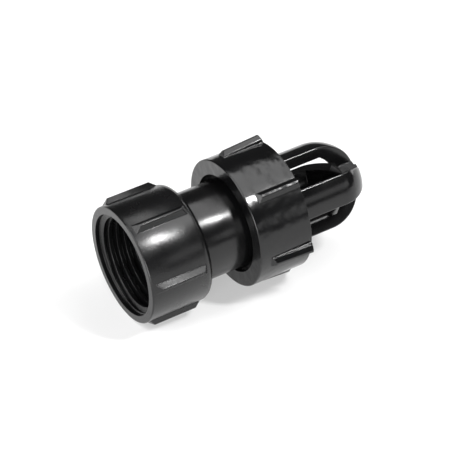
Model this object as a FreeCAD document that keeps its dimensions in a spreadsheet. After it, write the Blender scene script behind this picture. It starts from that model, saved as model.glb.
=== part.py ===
import FreeCAD, Part
import math
import os

import Sketcher

# Foot valve for the bottom end of a suction hose, lying on its side.
#
# +X runs along the flow axis, from the mouth of the swivel hose nut to the tip of the strainer.
# +Z is up, and the origin is the centre of the nut's mouth. Water flows towards -X.
# All lengths are millimetres and all angles are degrees about +X, counted from +Z towards -Y.

DIMENSIONS = {
    # Swivel hose nut, with a 3/4 inch garden hose thread (11.5 threads per inch)
    "nut_radius": 15.75,
    "nut_end": 18.0,
    "nut_shoulder_round": 2.0,
    "nut_mouth_radius": 13.7,
    "nut_mouth_depth": 1.2,
    "nut_thread_minor": 12.2,
    "nut_thread_major": 13.6,
    "nut_thread_pitch": 2.209,
    "nut_thread_start": 0.8,
    "nut_thread_turns": 4.6,
    "nut_thread_opening": 0.66,
    "nut_thread_floor": 0.12,
    "nut_thread_end": 11.2,
    "nut_seat": 15.4,
    "nut_seat_radius": 12.9,
    "nut_lip_radius": 11.0,
    "nut_rib_start": 1.2,
    "nut_rib_front_slope": 1.5,
    "nut_rib_rear_slope": 1.4,
    "nut_rib_end": 16.0,
    "nut_rib_width": 2.6,
    "nut_rib_side_run": 1.05,
    "nut_rib_side_rise": 1.3,
    "nut_rib_radius": 17.1,
    "nut_rib_back_drop": 0.2,
    "nut_rib_angle": 23.5,
    # Neck tube, the fixed core
    "spigot_radius": 10.9,
    "flange_front": 13.4,
    "flange_back": 15.3,
    "flange_radius": 12.0,
    "neck_start": 18.3,
    "neck_radius": 11.9,
    "neck_bore": 10.0,
    "hose_bore": 8.4,
    "bore_shelf": 20.0,
    "union_flange_front": 33.4,
    "union_flange_back": 35.8,
    "union_flange_radius": 14.6,
    # Hose washer
    "washer_front": 11.4,
    "washer_hole": 8.4,
    "washer_radius": 12.6,
    # Union collar
    "collar_front": 30.6,
    "collar_end": 45.8,
    "collar_radius": 17.4,
    "collar_lip_radius": 13.4,
    "collar_lip_back": 33.2,
    "collar_thread_minor": 14.9,
    "collar_thread_major": 16.1,
    "collar_thread_start": 36.6,
    "collar_thread_turns": 4.7,
    "collar_mouth_bevel": 0.7,
    "collar_relief_radius": 16.2,
    "collar_rib_start": 33.7,
    "collar_rib_slope": 0.9,
    "collar_rib_back_slope": 0.5,
    "collar_rib_width": 2.7,
    "collar_rib_side_run": 1.0,
    "collar_rib_side_rise": 1.0,
    "collar_rib_front_radius": 18.7,
    "collar_rib_back_radius": 19.3,
    "collar_rib_angle": 41.0,
    # Union thread shared by the collar and the strainer
    "union_pitch": 2.5,
    "union_thread_opening": 0.82,
    "union_thread_floor": 0.22,
    "union_thread_gap": 0.15,
    # Shared by all the threads and ribs: a cutter starts clear of the wall,
    # and a rib starts just under the surface, with its root sunk into the wall
    "cutter_clearance": 0.3,
    "rib_sink": 0.8,
    "rib_lip": 0.1,
    "rib_crest_round": 0.15,
    # Strainer basket
    "strainer_front": 37.3,
    "strainer_ring_end": 44.0,
    "strainer_thread_turns": 4.2,
    "strainer_ring_back_wall": 2.0,
    "strainer_mouth_radius": 10.6,
    "cage_radius": 11.78,
    "cage_inner_radius": 8.7,
    "bar_axis_half_width": 0.7,
    "bar_wall_slope": 0.32,
    "far_bar_wall_slope": 0.24,
    "dome_start": 61.0,
    "dome_length": 9.9,
    "dome_shoulder": 7.0,
    "cross_arch_start": 58.65,
    "cross_arch_inner": 1.2,
    "cross_arch_sweep": 90.0,
    "cross_arch_count": 2,
    "cavity_shoulder": 61.0,
    "cavity_corner": 64.2,
    "cavity_corner_radius": 5.8,
    "cavity_end": 67.8,
    "cage_bar_angle": 67.5,
    "cage_edge_round": 0.4,
    "window_tip": 2.6,
    "window_cutter_margin": 1.0,
    "window_count": 4,
    # Check valve cartridge
    "cartridge_front": 20.1,
    "cartridge_radius": 9.95,
    "cartridge_bore": 8.3,
    "cartridge_flange_back": 37.1,
    "cartridge_flange_radius": 12.2,
    "seat_front": 34.6,
    "seat_hole": 6.2,
    "o_ring_centre": 32.4,
    "o_ring_radius": 9.36,
    "o_ring_wire": 0.62,
    "o_ring_groove_half": 0.8,
    "o_ring_groove_floor": 8.72,
    "o_ring_groove_top": 10.45,
    # Gasket between the neck and the strainer
    "gasket_inner": 12.3,
    "gasket_outer": 14.5,
    # Spring guide
    "guide_back": 22.3,
    "guide_ring_radius": 8.27,
    "guide_ring_inner": 7.3,
    "guide_hub_radius": 4.7,
    "guide_bore": 1.56,
    "guide_spoke_width": 1.6,
    "guide_spoke_count": 3,
    "guide_spoke_inner": 4.2,
    "guide_spoke_outer": 7.7,
    # Poppet, its rubber face and the stud that holds the face on
    "stem_radius": 1.5,
    "stem_front": 18.6,
    "poppet_hub_front": 29.9,
    "poppet_hub_radius": 3.2,
    "poppet_front": 31.9,
    "poppet_back": 33.7,
    "poppet_radius": 7.1,
    "seal_radius": 6.95,
    "seal_back": 34.55,
    "retainer_radius": 4.4,
    "retainer_back": 36.0,
    "stud_hole_front": 30.9,
    "stud_front": 31.0,
    "stud_hole_radius": 1.3,
    "stud_radius": 1.28,
    # Poppet spring
    "spring_radius": 3.95,
    "spring_wire": 0.35,
    "spring_end_gap": 0.02,
    "spring_turns": 5.0,
    "rib_count": 6,
    "edge_round": 0.3,
}


class Size:
    """A length with the spreadsheet formula that gives it, so that sketches stay bound to the sheet."""

    def __init__(self, value, formula):
        self.value = value
        self.formula = formula

    def combine(self, other, sign):
        if not isinstance(other, Size):
            other = Size(float(other), repr(float(other)))
        value = {
            "+": lambda a, b: a + b,
            "-": lambda a, b: a - b,
            "*": lambda a, b: a * b,
            "/": lambda a, b: a / b,
        }[sign](self.value, other.value)
        return Size(value, f"({self.formula} {sign} {other.formula})")

    def __add__(self, other):
        return self.combine(other, "+")

    def __sub__(self, other):
        return self.combine(other, "-")

    def __mul__(self, other):
        return self.combine(other, "*")

    def __truediv__(self, other):
        return self.combine(other, "/")


class Sizes:
    """The sheet's dimensions, as attributes: sizes.nut_radius is a Size."""

    def __init__(self, document, dimensions):
        self.sheet = document.addObject("Spreadsheet::Sheet", "Sizes")
        for row, (name, value) in enumerate(dimensions.items(), start=1):
            self.sheet.set(f"A{row}", name)
            self.sheet.set(f"B{row}", str(value))
            self.sheet.setAlias(f"B{row}", name)
            setattr(self, name, Size(float(value), f"Sizes.{name}"))


ZERO = Size(0.0, "0")
AXIS_X = FreeCAD.Vector(1, 0, 0)
# Tolerances for picking edges, in millimetres
SAME_PLACE = 0.01
ON_THE_DOME = 0.05
RIB_TOP_MARGIN = 0.7
LEAST_LONG_EDGE = 1.0
EDGE_SAMPLES = 5
# The share of the closed cage that may be left once its windows are cut
MOST_LEFT_BY_WINDOWS = 0.8


def origin_plane(body, role):
    return next(f for f in body.Origin.OriginFeatures if f.Role == role)


def new_body(document, name):
    body = document.addObject("PartDesign::Body", name)
    body.Label = name
    return body


def new_sketch(body, name, plane="XZ_Plane"):
    sketch = body.newObject("Sketcher::SketchObject", name)
    sketch.AttachmentSupport = [(origin_plane(body, plane), "")]
    sketch.MapMode = "FlatFace"
    return sketch


def bind_point(sketch, piece, end, along, out):
    """Ties one point of a sketch to two Sizes, measured from the sketch's origin."""
    for kind, size, axis in (("DistanceX", along, -2), ("DistanceY", out, -1)):
        if size is ZERO:
            sketch.addConstraint(Sketcher.Constraint("PointOnObject", piece, end, axis))
            continue
        place = sketch.addConstraint(Sketcher.Constraint(kind, -1, 1, piece, end, size.value))
        sketch.setExpression(f"Constraints[{place}]", size.formula)


def open_chain(sketch, points):
    """Straight lines from point to point: each point is an (along, out) pair of Sizes."""
    corners = [FreeCAD.Vector(along.value, out.value, 0) for along, out in points]
    for index in range(len(corners) - 1):
        sketch.addGeometry(Part.LineSegment(corners[index], corners[index + 1]), False)
        bind_point(sketch, index, 1, *points[index])
        if index:
            sketch.addConstraint(Sketcher.Constraint("Coincident", index - 1, 2, index, 1))


def polygon(body, name, points, plane="XZ_Plane"):
    """A closed outline of straight lines on an origin plane."""
    sketch = new_sketch(body, name, plane)
    open_chain(sketch, points + [points[0]])
    sketch.addConstraint(Sketcher.Constraint("Coincident", len(points) - 1, 2, 0, 1))
    return sketch


def turn_profile(body, name, sketch, kind):
    turned = body.newObject(kind, name)
    turned.Profile = sketch
    turned.ReferenceAxis = (sketch, ["H_Axis"])
    turned.Angle = 360.0
    return turned


def revolve(body, name, points, cut=False):
    """A full turn of a profile about the flow axis, added to the body or cut from it."""
    kind = "PartDesign::Groove" if cut else "PartDesign::Revolution"
    return turn_profile(body, name, polygon(body, f"{name}_profile", points), kind)


def repeat_about_flow(body, name, feature, count):
    pattern = body.newObject("PartDesign::PolarPattern", name)
    pattern.Originals = [feature]
    pattern.Axis = (origin_plane(body, "X_Axis"), [""])
    pattern.Angle = 360.0
    pattern.setExpression("Occurrences", count.formula)
    body.Tip = pattern
    return pattern


def add_ribs(body, name, points, width, count):
    """Ribs: a side profile padded to the rib's width and repeated about the flow axis."""
    pad = body.newObject("PartDesign::Pad", name)
    pad.Profile = polygon(body, f"{name}_profile", points)
    pad.SideType = "Symmetric"
    pad.setExpression("Length", width.formula)
    return repeat_about_flow(body, f"{name}_pattern", pad, count)


def groove_section(middle, crest, root, clear, pitch, opening, floor):
    """A thread groove's outline. Its opening and floor are shares of the pitch."""
    half_opening = pitch / 2.0 * opening
    half_floor = pitch / 2.0 * floor
    return [
        (middle - half_opening, clear),
        (middle - half_opening, crest),
        (middle - half_floor, root),
        (middle + half_floor, root),
        (middle + half_opening, crest),
        (middle + half_opening, clear),
    ]


def cut_thread(body, name, points, pitch, height):
    """A helical groove whose section is the profile, running along +X."""
    sketch = polygon(body, f"{name}_profile", points)
    thread = body.newObject("PartDesign::SubtractiveHelix", name)
    thread.Profile = sketch
    thread.ReferenceAxis = (sketch, ["H_Axis"])
    thread.Mode = "pitch-height-angle"
    thread.setExpression("Pitch", pitch.formula)
    thread.setExpression("Height", height.formula)
    thread.LeftHanded = False
    body.Tip = thread
    return thread


def edges_where(shape, wanted):
    return [f"Edge{i}" for i, edge in enumerate(shape.Edges, start=1) if wanted(edge)]


def ring_edge(along, radius):
    """A test for the circular edge of this radius that lies in the plane x = along."""

    def wanted(edge):
        return all(
            abs(v.X - along.value) < SAME_PLACE
            and abs((v.Y**2 + v.Z**2) ** 0.5 - radius.value) < SAME_PLACE
            for v in edge.Vertexes
        )

    return wanted


def fillet(document, body, base, name, wanted, size):
    document.recompute()
    rounded = body.newObject("PartDesign::Fillet", name)
    rounded.Base = (base, edges_where(base.Shape, wanted))
    rounded.setExpression("Radius", size.formula)
    body.Tip = rounded
    return rounded


def turn_about_flow(body, degrees):
    body.Placement = FreeCAD.Placement(FreeCAD.Vector(), FreeCAD.Rotation(AXIS_X, degrees))


def rib_crests(radius):
    """A test for the long edges on top of the ribs, well outside the plain body."""
    least = radius.value + RIB_TOP_MARGIN

    def wanted(edge):
        outside = all((v.Y**2 + v.Z**2) ** 0.5 > least for v in edge.Vertexes)
        return outside and edge.BoundBox.XLength > LEAST_LONG_EDGE

    return wanted


def slope_rib_sides(document, body, ribs, radius, run, rise):
    """Chamfers the ribs' long top edges, so that their sides slope up to a narrow crest."""
    document.recompute()
    sides = body.newObject("PartDesign::Chamfer", "Rib_sides")
    sides.Base = (ribs, edges_where(ribs.Shape, rib_crests(radius)))
    sides.ChamferType = "Two distances"
    sides.setExpression("Size", rise.formula)
    sides.setExpression("Size2", run.formula)
    body.Tip = sides
    return sides


def hose_nut(document, s):
    body = new_body(document, "hose_nut")
    shell = revolve(body, "Shell", [
        (ZERO, s.nut_mouth_radius),
        (ZERO, s.nut_radius),
        (s.nut_end, s.nut_radius),
        (s.nut_end, s.nut_lip_radius),
        (s.nut_seat, s.nut_lip_radius),
        (s.nut_seat, s.nut_seat_radius),
        (s.nut_thread_end, s.nut_seat_radius),
        (s.nut_thread_end, s.nut_thread_minor),
        (s.nut_mouth_depth + (s.nut_mouth_radius - s.nut_thread_minor) / 2.0, s.nut_thread_minor),
        (s.nut_mouth_depth, s.nut_mouth_radius),
    ])
    shoulder = fillet(document, body, shell, "Shoulder",
                      ring_edge(s.nut_end, s.nut_radius), s.nut_shoulder_round)
    rim = fillet(document, body, shoulder, "Rim", ring_edge(ZERO, s.nut_radius), s.edge_round)
    root = s.nut_radius - s.rib_sink
    ribs = add_ribs(body, "Rib", [
        (s.nut_rib_start, root),
        (s.nut_rib_start, s.nut_radius - s.rib_lip),
        (s.nut_rib_start + s.nut_rib_front_slope, s.nut_rib_radius),
        (s.nut_rib_end - s.nut_rib_rear_slope, s.nut_rib_radius),
        (s.nut_rib_end, s.nut_radius - s.nut_rib_back_drop),
        (s.nut_rib_end, root),
    ], s.nut_rib_width, s.rib_count)
    sides = slope_rib_sides(document, body, ribs, s.nut_radius,
                            s.nut_rib_side_run, s.nut_rib_side_rise)
    fillet(document, body, sides, "Rib_crests", rib_crests(s.nut_radius), s.rib_crest_round)
    cut_thread(body, "Thread", groove_section(
        s.nut_thread_start, s.nut_thread_minor, s.nut_thread_major,
        s.nut_thread_minor - s.cutter_clearance, s.nut_thread_pitch,
        s.nut_thread_opening, s.nut_thread_floor,
    ), s.nut_thread_pitch, s.nut_thread_pitch * s.nut_thread_turns)
    turn_about_flow(body, s.nut_rib_angle.value)
    return body


def hose_washer(document, s):
    body = new_body(document, "hose_washer")
    ring = revolve(body, "Ring", [
        (s.washer_front, s.washer_hole),
        (s.washer_front, s.washer_radius),
        (s.flange_front, s.washer_radius),
        (s.flange_front, s.washer_hole),
    ])
    fillet(document, body, ring, "Lip", ring_edge(s.washer_front, s.washer_radius), s.edge_round)
    return body


def neck_tube(document, s):
    body = new_body(document, "neck_tube")
    tube = revolve(body, "Tube", [
        (s.flange_front, s.hose_bore),
        (s.flange_front, s.flange_radius),
        (s.flange_back, s.flange_radius),
        (s.flange_back, s.spigot_radius),
        (s.neck_start, s.spigot_radius),
        (s.neck_start, s.neck_radius),
        (s.union_flange_front, s.neck_radius),
        (s.union_flange_front, s.union_flange_radius),
        (s.union_flange_back, s.union_flange_radius),
        (s.union_flange_back, s.neck_bore),
        (s.bore_shelf, s.neck_bore),
        (s.bore_shelf, s.hose_bore),
    ])
    fillet(document, body, tube, "Shoulder", ring_edge(s.neck_start, s.neck_radius), s.edge_round)
    return body


def union_collar(document, s):
    body = new_body(document, "union_collar")
    shell = revolve(body, "Shell", [
        (s.collar_front, s.collar_lip_radius),
        (s.collar_front, s.collar_radius),
        (s.collar_end, s.collar_radius),
        (s.collar_end, s.collar_thread_minor + s.collar_mouth_bevel),
        (s.collar_end - s.collar_mouth_bevel, s.collar_thread_minor),
        (s.collar_thread_start, s.collar_thread_minor),
        (s.collar_thread_start, s.collar_relief_radius),
        (s.collar_lip_back, s.collar_relief_radius),
        (s.collar_lip_back, s.collar_lip_radius),
    ])
    rim = fillet(document, body, shell, "Rim",
                 ring_edge(s.collar_front, s.collar_radius), s.edge_round)
    root = s.collar_radius - s.rib_sink
    ribs = add_ribs(body, "Rib", [
        (s.collar_rib_start, root),
        (s.collar_rib_start, s.collar_radius - s.rib_lip),
        (s.collar_rib_start + s.collar_rib_slope, s.collar_rib_front_radius),
        (s.collar_end - s.collar_rib_back_slope, s.collar_rib_back_radius),
        (s.collar_end, s.collar_radius),
        (s.collar_end, root),
    ], s.collar_rib_width, s.rib_count)
    sides = slope_rib_sides(document, body, ribs, s.collar_radius,
                            s.collar_rib_side_run, s.collar_rib_side_rise)
    fillet(document, body, sides, "Rib_crests", rib_crests(s.collar_radius), s.rib_crest_round)
    cut_thread(body, "Thread", groove_section(
        s.collar_thread_start - s.union_pitch / 2.0, s.collar_thread_minor, s.collar_thread_major,
        s.collar_thread_minor - s.cutter_clearance, s.union_pitch,
        s.union_thread_opening, s.union_thread_floor,
    ), s.union_pitch, s.union_pitch * s.collar_thread_turns)
    turn_about_flow(body, s.collar_rib_angle.value)
    return body


def dome_tip_radius(s):
    """The radius of the tip's arc that runs smoothly into the shoulder's arc."""
    length = s.dome_length
    shoulder = s.dome_shoulder
    across = length * length + s.cage_radius * s.cage_radius - s.cage_radius * shoulder * 2.0
    return across / ((length - shoulder) * 2.0)


def dome_shell(body, s, front):
    """The cage before its windows are cut: a tube closed by a dome of two arcs, and hollow."""
    dome_end = s.dome_start + s.dome_length
    corners = [
        (dome_end, ZERO),
        (s.cavity_end, ZERO),
        (s.cavity_corner, s.cavity_corner_radius),
        (s.cavity_shoulder, s.cage_inner_radius),
        (front, s.cage_inner_radius),
        (front, s.cage_radius),
        (s.dome_start, s.cage_radius),
    ]
    sketch = new_sketch(body, "Cage_profile")
    open_chain(sketch, corners)
    last = len(corners) - 2
    bind_point(sketch, last, 2, *corners[-1])
    tip_radius = dome_tip_radius(s)
    tip_centre = FreeCAD.Vector((dome_end - tip_radius).value, 0, 0)
    rise = s.cage_radius - s.dome_shoulder
    shoulder_centre = FreeCAD.Vector(s.dome_start.value, rise.value, 0)
    meeting = math.atan2(rise.value, shoulder_centre.x - tip_centre.x)
    normal = FreeCAD.Vector(0, 0, 1)
    tip_circle = Part.Circle(tip_centre, normal, tip_radius.value)
    shoulder_circle = Part.Circle(shoulder_centre, normal, s.dome_shoulder.value)
    tip = sketch.addGeometry(Part.ArcOfCircle(tip_circle, 0, meeting), False)
    shoulder = sketch.addGeometry(Part.ArcOfCircle(shoulder_circle, meeting, math.pi / 2), False)
    bind_point(sketch, shoulder, 3, s.dome_start, rise)
    sketch.addConstraint(Sketcher.Constraint("Coincident", tip, 1, 0, 1))
    sketch.addConstraint(Sketcher.Constraint("Coincident", shoulder, 2, last, 2))
    sketch.addConstraint(Sketcher.Constraint("PointOnObject", tip, 3, -1))
    sketch.addConstraint(Sketcher.Constraint("Tangent", tip, 2, shoulder, 1))
    return turn_profile(body, "Cage", sketch, "PartDesign::Revolution")


def lower_cross_arch(body, s):
    """Rounds the two bars that cross under the other pair to a ball a little inside the dome."""
    inner = s.cross_arch_inner
    reach = s.cage_radius * s.cage_radius - inner * inner
    far = s.dome_start + s.dome_length + s.cutter_clearance
    over = s.cage_radius + s.cutter_clearance
    near_tip = s.cross_arch_start + Size(math.sqrt(reach.value), f"sqrt({reach.formula})")
    corners = [
        (near_tip, inner),
        (far, inner),
        (far, over),
        (s.cross_arch_start, over),
        (s.cross_arch_start, s.cage_radius),
    ]
    sketch = new_sketch(body, "Cross_arch_profile", "XY_Plane")
    open_chain(sketch, corners)
    last = len(corners) - 2
    bind_point(sketch, last, 2, *corners[-1])
    centre = FreeCAD.Vector(s.cross_arch_start.value, 0, 0)
    circle = Part.Circle(centre, FreeCAD.Vector(0, 0, 1), s.cage_radius.value)
    angle = math.asin(inner.value / s.cage_radius.value)
    ball = sketch.addGeometry(Part.ArcOfCircle(circle, angle, math.pi / 2), False)
    sketch.addConstraint(Sketcher.Constraint("Coincident", ball, 2, last, 2))
    sketch.addConstraint(Sketcher.Constraint("Coincident", ball, 1, 0, 1))
    sketch.addConstraint(Sketcher.Constraint("PointOnObject", ball, 3, -1))
    groove = turn_profile(body, "Cross_arch", sketch, "PartDesign::Groove")
    groove.setExpression("Angle", s.cross_arch_sweep.formula)
    groove.Midplane = True
    return repeat_about_flow(body, "Cross_arches", groove, s.cross_arch_count)


def off_the_ball(s, along, out):
    """How far a point lies from the tube and the ball that ends the lower arch."""
    ahead = max(0.0, along - s.cross_arch_start.value)
    return abs(math.hypot(ahead, out) - s.cage_radius.value)


def off_the_dome(s, along, out):
    """How far a point lies from the outside of the tube and its dome."""
    if along <= s.dome_start.value:
        return abs(out - s.cage_radius.value)
    tip_radius = dome_tip_radius(s).value
    tip_centre = (s.dome_start + s.dome_length).value - tip_radius
    rise = (s.cage_radius - s.dome_shoulder).value
    from_shoulder = (along - s.dome_start.value, out - rise)
    on_shoulder = from_shoulder[1] * (s.dome_start.value - tip_centre) > from_shoulder[0] * rise
    if on_shoulder:
        return abs(math.hypot(*from_shoulder) - s.dome_shoulder.value)
    return abs(math.hypot(along - tip_centre, out) - tip_radius)


def strainer_basket(document, s):
    """The threaded ring and the domed cage of four bars, moulded in one piece."""
    body = new_body(document, "strainer_basket")
    crest = s.collar_thread_major - s.union_thread_gap
    root = s.collar_thread_minor - s.union_thread_gap
    back = s.strainer_ring_end
    wall_front = back - s.strainer_ring_back_wall
    cage = dome_shell(body, s, wall_front)
    outer = s.cage_radius + s.window_cutter_margin
    wall = s.bar_axis_half_width + s.bar_wall_slope * outer
    tip = (s.window_tip * 2.0 - s.bar_axis_half_width) / (s.bar_wall_slope + 1.0)
    tip_wall = s.bar_axis_half_width + s.bar_wall_slope * tip
    window_length = s.dome_start + s.dome_length + s.window_cutter_margin - back
    profile = polygon(body, "Window_profile", [
        (tip_wall, tip),
        (tip, tip_wall),
        (outer, wall),
        (outer, outer),
        (wall, outer),
    ], "YZ_Plane")
    profile.setExpression("AttachmentOffset.Base.z", back.formula)
    window = body.newObject("PartDesign::Pocket", "Window")
    window.Profile = profile
    window.Reversed = True
    window.setExpression("Length", window_length.formula)
    windows = repeat_about_flow(body, "Windows", window, s.window_count)
    far_wall = s.bar_axis_half_width + s.far_bar_wall_slope * outer
    far_tip_wall = s.bar_axis_half_width + s.far_bar_wall_slope * tip
    for name, side in (("Far_bar_upper_side", -1.0), ("Far_bar_lower_side", 1.0)):
        trim = polygon(body, f"{name}_profile", [
            (far_tip_wall * side, tip * -1.0),
            (tip_wall * side, tip * -1.0),
            ((wall + s.window_cutter_margin) * side, outer * -1.0),
            (far_wall * side, outer * -1.0),
        ], "YZ_Plane")
        trim.setExpression("AttachmentOffset.Base.z", back.formula)
        windows = body.newObject("PartDesign::Pocket", name)
        windows.Profile = trim
        windows.Reversed = True
        windows.setExpression("Length", window_length.formula)
    document.recompute()
    if windows.Shape.Volume > MOST_LEFT_BY_WINDOWS * cage.Shape.Volume:
        raise RuntimeError("the windows did not cut the cage")

    def outer_bar_edges(edge):
        if edge.Degenerated or edge.BoundBox.XLength < LEAST_LONG_EDGE:
            return False
        places = [(point.x, math.hypot(point.y, point.z)) for point in edge.discretize(EDGE_SAMPLES)]
        return any(
            all(off(s, along, out) < ON_THE_DOME for along, out in places)
            for off in (off_the_dome, off_the_ball)
        )

    arches = lower_cross_arch(body, s)
    document.recompute()
    fillet(document, body, arches, "Bar_edges", outer_bar_edges, s.cage_edge_round)
    ring = revolve(body, "Ring", [
        (s.strainer_front, s.strainer_mouth_radius),
        (s.strainer_front, root),
        (s.strainer_front + (crest - root), crest),
        (back, crest),
        (back, s.cage_inner_radius),
        (wall_front, s.cage_inner_radius),
        (wall_front, s.strainer_mouth_radius),
    ])
    body.Tip = ring
    # the ribs and bars turn the two threads apart, and half a pitch puts crest into groove
    phase = (s.cage_bar_angle - s.collar_rib_angle) / 360.0 + 0.5
    start = s.collar_thread_start - s.union_pitch / 2.0 + s.union_pitch * phase
    cut_thread(body, "Thread", groove_section(
        start, crest, root, crest + s.cutter_clearance, s.union_pitch,
        s.union_thread_opening, s.union_thread_floor,
    ), s.union_pitch, s.union_pitch * s.strainer_thread_turns)
    turn_about_flow(body, s.cage_bar_angle.value)
    return body


def cartridge_housing(document, s):
    """The sleeve that carries the valve seat and slides into the neck tube up to its flange."""
    body = new_body(document, "cartridge_housing")
    revolve(body, "Sleeve", [
        (s.cartridge_front, s.cartridge_bore),
        (s.cartridge_front, s.cartridge_radius),
        (s.union_flange_back, s.cartridge_radius),
        (s.union_flange_back, s.cartridge_flange_radius),
        (s.cartridge_flange_back, s.cartridge_flange_radius),
        (s.cartridge_flange_back, s.seat_hole),
        (s.seat_front, s.seat_hole),
        (s.seat_front, s.cartridge_bore),
    ])
    groove_front = s.o_ring_centre - s.o_ring_groove_half
    groove_back = s.o_ring_centre + s.o_ring_groove_half
    revolve(body, "O_ring_groove", [
        (groove_front, s.o_ring_groove_floor),
        (groove_front, s.o_ring_groove_top),
        (groove_back, s.o_ring_groove_top),
        (groove_back, s.o_ring_groove_floor),
    ], cut=True)
    return body


def circle_profile(body, name, along, out, radius):
    """A sketched circle on the XZ plane, bound by its centre and its radius."""
    sketch = new_sketch(body, name)
    centre = FreeCAD.Vector(along.value, out.value, 0)
    sketch.addGeometry(Part.Circle(centre, FreeCAD.Vector(0, 0, 1), radius.value), False)
    bind_point(sketch, 0, 3, along, out)
    place = sketch.addConstraint(Sketcher.Constraint("Radius", 0, radius.value))
    sketch.setExpression(f"Constraints[{place}]", radius.formula)
    return sketch


def cartridge_o_ring(document, s):
    body = new_body(document, "cartridge_o_ring")
    section = circle_profile(body, "Section", s.o_ring_centre, s.o_ring_radius, s.o_ring_wire)
    turn_profile(body, "Ring", section, "PartDesign::Revolution")
    return body


def flat_ring(document, name, front, back, inner, outer):
    body = new_body(document, name)
    revolve(body, "Ring", [(front, inner), (front, outer), (back, outer), (back, inner)])
    return body


def spring_guide(document, s):
    """The spider at the front of the cartridge: it guides the stem and holds the spring."""
    body = new_body(document, "spring_guide")
    front = s.cartridge_front
    revolve(body, "Hub", [
        (front, s.guide_bore),
        (front, s.guide_hub_radius),
        (s.guide_back, s.guide_hub_radius),
        (s.guide_back, s.guide_bore),
    ])
    add_ribs(body, "Spoke", [
        (front, s.guide_spoke_inner),
        (front, s.guide_spoke_outer),
        (s.guide_back, s.guide_spoke_outer),
        (s.guide_back, s.guide_spoke_inner),
    ], s.guide_spoke_width, s.guide_spoke_count)
    rim = revolve(body, "Rim", [
        (front, s.guide_ring_inner),
        (front, s.guide_ring_radius),
        (s.guide_back, s.guide_ring_radius),
        (s.guide_back, s.guide_ring_inner),
    ])
    body.Tip = rim
    return body


def valve_spring(document, s):
    """A light compression spring between the guide's hub and the poppet."""
    body = new_body(document, "valve_spring")
    end_gap = s.spring_wire + s.spring_end_gap
    start = s.guide_back + end_gap
    section = circle_profile(body, "Wire", start, s.spring_radius, s.spring_wire)
    coil = body.newObject("PartDesign::AdditiveHelix", "Coil")
    coil.Profile = section
    coil.ReferenceAxis = (section, ["H_Axis"])
    coil.Mode = "height-turns-angle"
    coil.setExpression("Height", (s.poppet_front - end_gap - start).formula)
    coil.setExpression("Turns", s.spring_turns.formula)
    body.Tip = coil
    return body


def poppet(document, s):
    """The valve disc on its guide stem."""
    body = new_body(document, "poppet")
    disc = revolve(body, "Disc", [
        (s.stem_front, ZERO),
        (s.stem_front, s.stem_radius),
        (s.poppet_hub_front, s.stem_radius),
        (s.poppet_hub_front, s.poppet_hub_radius),
        (s.poppet_front, s.poppet_hub_radius),
        (s.poppet_front, s.poppet_radius),
        (s.poppet_back, s.poppet_radius),
        (s.poppet_back, s.stud_hole_radius),
        (s.stud_hole_front, s.stud_hole_radius),
        (s.stud_hole_front, ZERO),
    ])
    fillet(document, body, disc, "Stem_tip", ring_edge(s.stem_front, s.stem_radius), s.edge_round)
    return body


def seal_retainer(document, s):
    """The headed stud that clamps the rubber face onto the poppet."""
    body = new_body(document, "seal_retainer")
    head = revolve(body, "Stud", [
        (s.stud_front, ZERO),
        (s.stud_front, s.stud_radius),
        (s.seal_back, s.stud_radius),
        (s.seal_back, s.retainer_radius),
        (s.retainer_back, s.retainer_radius),
        (s.retainer_back, ZERO),
    ])
    fillet(document, body, head, "Head_edge",
           ring_edge(s.retainer_back, s.retainer_radius), s.edge_round)
    return body


def build(document):
    s = Sizes(document, DIMENSIONS)
    document.recompute()
    return [
        hose_nut(document, s),
        hose_washer(document, s),
        neck_tube(document, s),
        union_collar(document, s),
        strainer_basket(document, s),
        flat_ring(document, "union_gasket", s.union_flange_back, s.cartridge_flange_back,
                  s.gasket_inner, s.gasket_outer),
        cartridge_housing(document, s),
        cartridge_o_ring(document, s),
        spring_guide(document, s),
        valve_spring(document, s),
        poppet(document, s),
        flat_ring(document, "poppet_seal", s.poppet_back, s.seal_back,
                  s.stud_hole_radius, s.seal_radius),
        seal_retainer(document, s),
    ]


def check(document, pieces):
    for thing in document.Objects:
        if "Invalid" in thing.State or "Error" in thing.State:
            raise RuntimeError(f"{thing.Name} did not build: {thing.State}")
    for piece in pieces:
        if piece.Shape.isNull() or not piece.Shape.isValid():
            raise RuntimeError(f"{piece.Label} has no valid shape")


def main():
    document = FreeCAD.newDocument("foot_valve")
    pieces = build(document)
    document.recompute()
    check(document, pieces)
    os.makedirs("parts", exist_ok=True)
    for piece in pieces:
        piece.Shape.exportStep(f"parts/{piece.Label}.step")
        box = piece.Shape.BoundBox
        print(piece.Label, len(piece.Shape.Solids), round(piece.Shape.Volume, 1),
              round(box.XMin, 2), round(box.XMax, 2), round(box.ZMax, 2))


main()
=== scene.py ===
import math

import bpy
from mathutils import Matrix, Vector


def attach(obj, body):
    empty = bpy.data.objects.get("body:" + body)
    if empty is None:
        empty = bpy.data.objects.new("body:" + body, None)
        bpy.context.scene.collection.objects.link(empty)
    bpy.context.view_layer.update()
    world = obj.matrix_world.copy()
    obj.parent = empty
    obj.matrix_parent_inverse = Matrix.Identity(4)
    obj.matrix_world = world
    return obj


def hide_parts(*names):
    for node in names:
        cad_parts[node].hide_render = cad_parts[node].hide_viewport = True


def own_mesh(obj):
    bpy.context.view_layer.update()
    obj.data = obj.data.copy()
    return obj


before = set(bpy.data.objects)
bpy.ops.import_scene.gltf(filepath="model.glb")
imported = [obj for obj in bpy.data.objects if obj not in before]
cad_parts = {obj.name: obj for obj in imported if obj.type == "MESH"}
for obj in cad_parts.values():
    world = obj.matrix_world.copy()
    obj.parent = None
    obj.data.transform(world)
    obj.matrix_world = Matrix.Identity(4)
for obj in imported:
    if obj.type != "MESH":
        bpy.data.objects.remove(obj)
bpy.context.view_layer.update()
MM = 0.001
WATTS_PER_RADIANCE = 4.0
BLACK = (0.0025, 0.0025, 0.0027)
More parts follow.
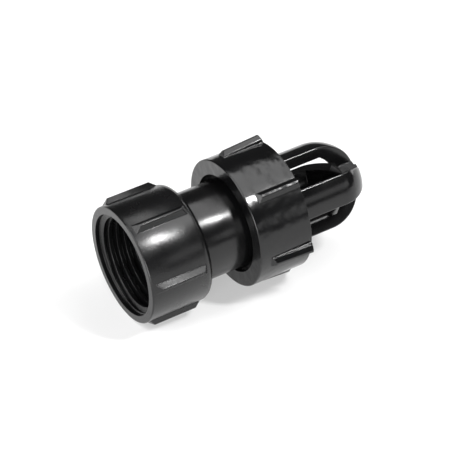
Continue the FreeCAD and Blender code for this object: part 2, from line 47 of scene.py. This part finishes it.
WHITE = (1.0, 1.0, 1.0, 1.0)


# ---------------------------------------------------------------- stage

FLOOR_SIZE = 6.0
STEEPEST_FLOOR = 0.2
SLOPE_HALVINGS = 30


def lowest_along(node, slope):
    """The lowest height of a node above a floor that falls by slope along +X."""
    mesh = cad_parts[node].data
    return min(v.co.z + slope * v.co.x for v in mesh.vertices)


def floor_slope():
    """The floor's fall along +X when the hose nut and the collar both rest on it."""
    low, high = 0.0, STEEPEST_FLOOR
    for _ in range(SLOPE_HALVINGS):
        middle = (low + high) / 2
        nut_bottom = lowest_along("hose_nut", middle)
        if nut_bottom < lowest_along("union_collar", middle):
            high = middle
        else:
            low = middle
    return low


def add_floor():
    slope = floor_slope()
    height = lowest_along("union_collar", slope)
    bpy.ops.mesh.primitive_plane_add(size=FLOOR_SIZE)
    floor = bpy.context.object
    floor.name = "floor"
    floor.location = (0, 0, height)
    floor.rotation_euler = (0, math.atan(slope), 0)
    return floor


def add_camera():
    """The photograph's view: a long lens from the hose nut's end, above the valve."""
    target = Vector((31.1, 1.04, -1.36)) * MM
    distance = 517.0 * MM
    azimuth = math.radians(29.46)
    elevation = math.radians(36.56)
    roll = math.radians(-3.53)
    back = Vector((
        -math.sin(azimuth) * math.cos(elevation),
        -math.cos(azimuth) * math.cos(elevation),
        math.sin(elevation),
    ))
    camera = bpy.data.objects.new("camera", bpy.data.cameras.new("camera"))
    bpy.context.scene.collection.objects.link(camera)
    camera.data.lens = 160.0
    camera.data.sensor_width = 36.0
    camera.data.clip_start = 0.01
    camera.data.clip_end = 50.0
    look = (-back).to_track_quat("-Z", "Y")
    camera.matrix_world = (
        Matrix.Translation(target + back * distance)
        @ look.to_matrix().to_4x4()
        @ Matrix.Rotation(roll, 4, "Z")
    )
    bpy.context.scene.camera = camera


def add_softbox(name, position, target, size, radiance):
    """A rectangular area light facing the target. Lengths are in metres.

    Radiance 1 shows as pure white when seen in a perfect mirror.
    """
    data = bpy.data.lights.new(name, "AREA")
    data.shape = "RECTANGLE"
    data.size = size[0]
    data.size_y = size[1]
    data.energy = radiance * size[0] * size[1] * WATTS_PER_RADIANCE
    light = bpy.data.objects.new(name, data)
    bpy.context.scene.collection.objects.link(light)
    position = Vector(position)
    light.location = position
    light.rotation_mode = "QUATERNION"
    light.rotation_quaternion = (Vector(target) - position).to_track_quat("-Z", "Y")
    light.visible_camera = False


def add_lights():
    """A large softbox overhead, a small bright key, low cards, and fills for the shadows.

    The fills stand where the tubes' walls don't mirror them into the camera.
    """
    world = bpy.data.worlds.new("studio")
    world.use_nodes = True
    background = world.node_tree.nodes["Background"]
    background.inputs["Color"].default_value = WHITE
    background.inputs["Strength"].default_value = 0.06
    bpy.context.scene.world = world
    centre = Vector((0.03, 0.0, 0.0))
    overhead = Vector((0.23, 0.06, 0.5))
    below = overhead - Vector((0, 0, 1))
    add_softbox("overhead", overhead, below, (0.14, 0.475), 2.9)
    key_way = Vector((0.435, -0.44, 0.785)).normalized()
    add_softbox("key", centre + key_way * 1.2, centre, (0.11, 0.23), 110.0)
    add_softbox("card", (-0.15, -0.62, 0.05), centre, (0.9, 0.2), 0.8)
    add_softbox("side_card", (0.45, -0.58, 0.17), centre, (0.28, 0.16), 1.1)
    add_softbox("fill_top", (-0.35, 0.0, 0.5), centre, (0.4, 0.6), 4.2)
    add_softbox("fill_front_left", (-0.45, -0.7, 0.28), centre, (0.7, 0.45), 6.5)
    add_softbox("fill_left", (-0.85, 0.1, 0.16), centre, (0.6, 0.25), 4.0)
    add_softbox("fill_front_right", (0.74, -0.1, 0.72), centre, (0.4, 0.5), 3.0)
    add_softbox("fill_right", (0.9, 0.2, 0.12), centre, (0.6, 0.3), 3.0)


# ---------------------------------------------------------------- materials

PLASTIC_IOR = 1.45
EDGE_MM = 0.12
EDGE_CHANGE_MM = 0.2
BEVEL_SAMPLES = 8


class Surface:
    """A Principled material with short calls for the nodes that feed it."""

    def __init__(self, name, colour, metallic=0.0):
        self.material = bpy.data.materials.new(name)
        self.material.use_nodes = True
        self.tree = self.material.node_tree
        self.shader = self.tree.nodes["Principled BSDF"]
        self.shader.inputs["Base Color"].default_value = (*colour, 1.0)
        self.shader.inputs["IOR"].default_value = PLASTIC_IOR
        self.shader.inputs["Metallic"].default_value = metallic
        self.place = self.node("ShaderNodeTexCoord").outputs["Object"]
        self.bevel = self.node("ShaderNodeBevel")
        self.bevel.samples = BEVEL_SAMPLES
        self.bevel.inputs["Radius"].default_value = EDGE_MM * MM
        self.normal = self.bevel.outputs["Normal"]
        self.link(self.normal, self.shader.inputs["Normal"])

    def node(self, kind):
        return self.tree.nodes.new(kind)

    def link(self, source, target):
        self.tree.links.new(source, target)

    def outside_edges(self, beyond_mm, edge_mm):
        """Rounds the edges this far from the flow axis more than the edges inside."""
        across = self.node("ShaderNodeMapping")
        across.inputs["Scale"].default_value = (0.0, 1.0, 1.0)
        self.link(self.place, across.inputs["Vector"])
        length = self.node("ShaderNodeVectorMath")
        length.operation = "LENGTH"
        self.link(across.outputs["Vector"], length.inputs[0])
        radius = self.ranged(
            length.outputs["Value"],
            EDGE_MM * MM,
            edge_mm * MM,
            from_low=(beyond_mm - EDGE_CHANGE_MM) * MM,
            from_high=beyond_mm * MM,
        )
        self.link(radius, self.bevel.inputs["Radius"])

    def noise(self, scale, detail=2.0, stretch=(1.0, 1.0, 1.0)):
        """Noise over the object, with its scale in cycles per metre."""
        mapping = self.node("ShaderNodeMapping")
        mapping.inputs["Scale"].default_value = stretch
        self.link(self.place, mapping.inputs["Vector"])
        noise = self.node("ShaderNodeTexNoise")
        noise.inputs["Scale"].default_value = scale
        noise.inputs["Detail"].default_value = detail
        self.link(mapping.outputs["Vector"], noise.inputs["Vector"])
        return noise.outputs["Fac"]

    def ranged(self, value, low, high, from_low=0.3, from_high=0.7):
        """The value, moved from one range to another and kept inside it."""
        spread = self.node("ShaderNodeMapRange")
        spread.inputs["From Min"].default_value = from_low
        spread.inputs["From Max"].default_value = from_high
        spread.inputs["To Min"].default_value = low
        spread.inputs["To Max"].default_value = high
        self.link(value, spread.inputs["Value"])
        return spread.outputs["Result"]

    def rough(self, value):
        self.link(value, self.shader.inputs["Roughness"])

    def relief(self, height, depth):
        """Adds relief of this depth, in metres, on top of the relief added before."""
        bump = self.node("ShaderNodeBump")
        bump.inputs["Distance"].default_value = depth
        self.link(height, bump.inputs["Height"])
        self.link(self.normal, bump.inputs["Normal"])
        self.normal = bump.outputs["Normal"]
        self.link(self.normal, self.shader.inputs["Normal"])

    def bump(self, height, depth_mm):
        self.relief(height, depth_mm * MM)

    def maths(self, operation, first, second):
        """Arithmetic on a socket and another socket or a number."""
        node = self.node("ShaderNodeMath")
        node.operation = operation
        self.link(first, node.inputs[0])
        if isinstance(second, float):
            node.inputs[1].default_value = second
        else:
            self.link(second, node.inputs[1])
        return node.outputs["Value"]

    def barrel(self, crest_mm, radius_mm):
        """Reads as a wall that swells slightly along the axis, highest at the crest."""
        split = self.node("ShaderNodeSeparateXYZ")
        self.link(self.place, split.inputs["Vector"])
        offset = self.maths("SUBTRACT", split.outputs["X"], crest_mm * MM)
        square = self.maths("MULTIPLY", offset, offset)
        fall = self.maths("MULTIPLY", square, -1.0 / (2.0 * radius_mm * MM))
        self.relief(fall, 1.0)


def grained_plastic():
    """The nut's moulded finish: a fine grain that spreads its highlights."""
    surface = Surface("nut_black_plastic", BLACK)
    surface.outside_edges(15.0, 0.35)
    surface.barrel(3.0, 62.0)
    surface.rough(surface.ranged(surface.noise(150.0, 4.0), 0.21, 0.29))
    surface.bump(surface.noise(140.0, 2.0), 0.08)
    surface.bump(surface.noise(1500.0, 2.0), 0.012)
    surface.bump(surface.noise(5200.0, 2.0), 0.008)
    return surface


def polished_plastic(name, smoothest=0.13, roughest=0.22):
    """The glossier finish of the other mouldings, with slow waves where the walls sank."""
    surface = Surface(name, BLACK)
    surface.rough(surface.ranged(surface.noise(170.0, 5.0), smoothest, roughest))
    surface.bump(surface.noise(160.0, 1.5), 0.08)
    surface.bump(surface.noise(4200.0, 2.0), 0.003)
    return surface


def turned_plastic():
    """The neck's finish: polished, with the faint ring marks of its turned mould."""
    surface = polished_plastic("neck_black_plastic", 0.18, 0.25)
    surface.barrel(20.4, 88.0)
    surface.bump(surface.noise(2600.0, 2.0, stretch=(1.0, 0.08, 0.08)), 0.006)
    return surface


def rippled_plastic():
    """The collar's finish: polished, with ripples where the thread behind pulled the wall."""
    surface = polished_plastic("collar_black_plastic")
    surface.outside_edges(17.0, 0.3)
    surface.bump(surface.noise(330.0, 1.0), 0.1)
    return surface


def satin_plastic():
    surface = Surface("satin_black_plastic", (0.02, 0.02, 0.021))
    surface.rough(surface.ranged(surface.noise(200.0, 4.0), 0.38, 0.5))
    surface.bump(surface.noise(3500.0, 2.0), 0.01)
    return surface


def black_rubber():
    surface = Surface("black_rubber", (0.016, 0.016, 0.016))
    surface.rough(surface.ranged(surface.noise(300.0, 4.0), 0.55, 0.75))
    surface.bump(surface.noise(2500.0, 4.0), 0.02)
    return surface


def drawn_steel():
    surface = Surface("drawn_steel", (0.55, 0.55, 0.56), metallic=1.0)
    surface.rough(surface.ranged(surface.noise(900.0, 3.0), 0.22, 0.36))
    surface.bump(surface.noise(6000.0, 2.0), 0.003)
    return surface


def light_table():
    """The floor: matt white, and lit a little from below so shadows stay light."""
    surface = Surface("light_table", (0.5, 0.5, 0.5))
    surface.shader.inputs["Specular IOR Level"].default_value = 0.1
    surface.shader.inputs["Emission Color"].default_value = WHITE
    surface.shader.inputs["Emission Strength"].default_value = 0.36
    surface.rough(surface.ranged(surface.noise(40.0, 3.0), 0.85, 0.95))
    return surface


def give(obj, surface):
    obj.data.materials.clear()
    obj.data.materials.append(surface.material)


def shortening_spring(surface):
    """The spring as its own steel copy on the neck, standing in for the CAD spring."""
    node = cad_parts["valve_spring"]
    spring = bpy.data.objects.new("compression_spring", node.data.copy())
    bpy.context.scene.collection.objects.link(spring)
    give(spring, surface)
    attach(spring, "neck")
    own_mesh(spring)
    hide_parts("valve_spring")


def finish_nodes():
    satin = satin_plastic()
    rubber = black_rubber()
    steel = drawn_steel()
    finishes = {
        "hose_nut": grained_plastic(),
        "neck_tube": turned_plastic(),
        "union_collar": rippled_plastic(),
        "strainer_basket": polished_plastic("cage_black_plastic"),
        "hose_washer": rubber,
        "union_gasket": rubber,
        "cartridge_o_ring": rubber,
        "poppet_seal": rubber,
        "cartridge_housing": satin,
        "spring_guide": satin,
        "poppet": satin,
        "seal_retainer": satin,
        "valve_spring": steel,
    }
    for name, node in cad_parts.items():
        give(node, finishes[name])
    shortening_spring(steel)


floor = add_floor()
add_camera()
add_lights()
give(floor, light_table())
finish_nodes()

bpy.context.scene.view_settings.view_transform = "Standard"
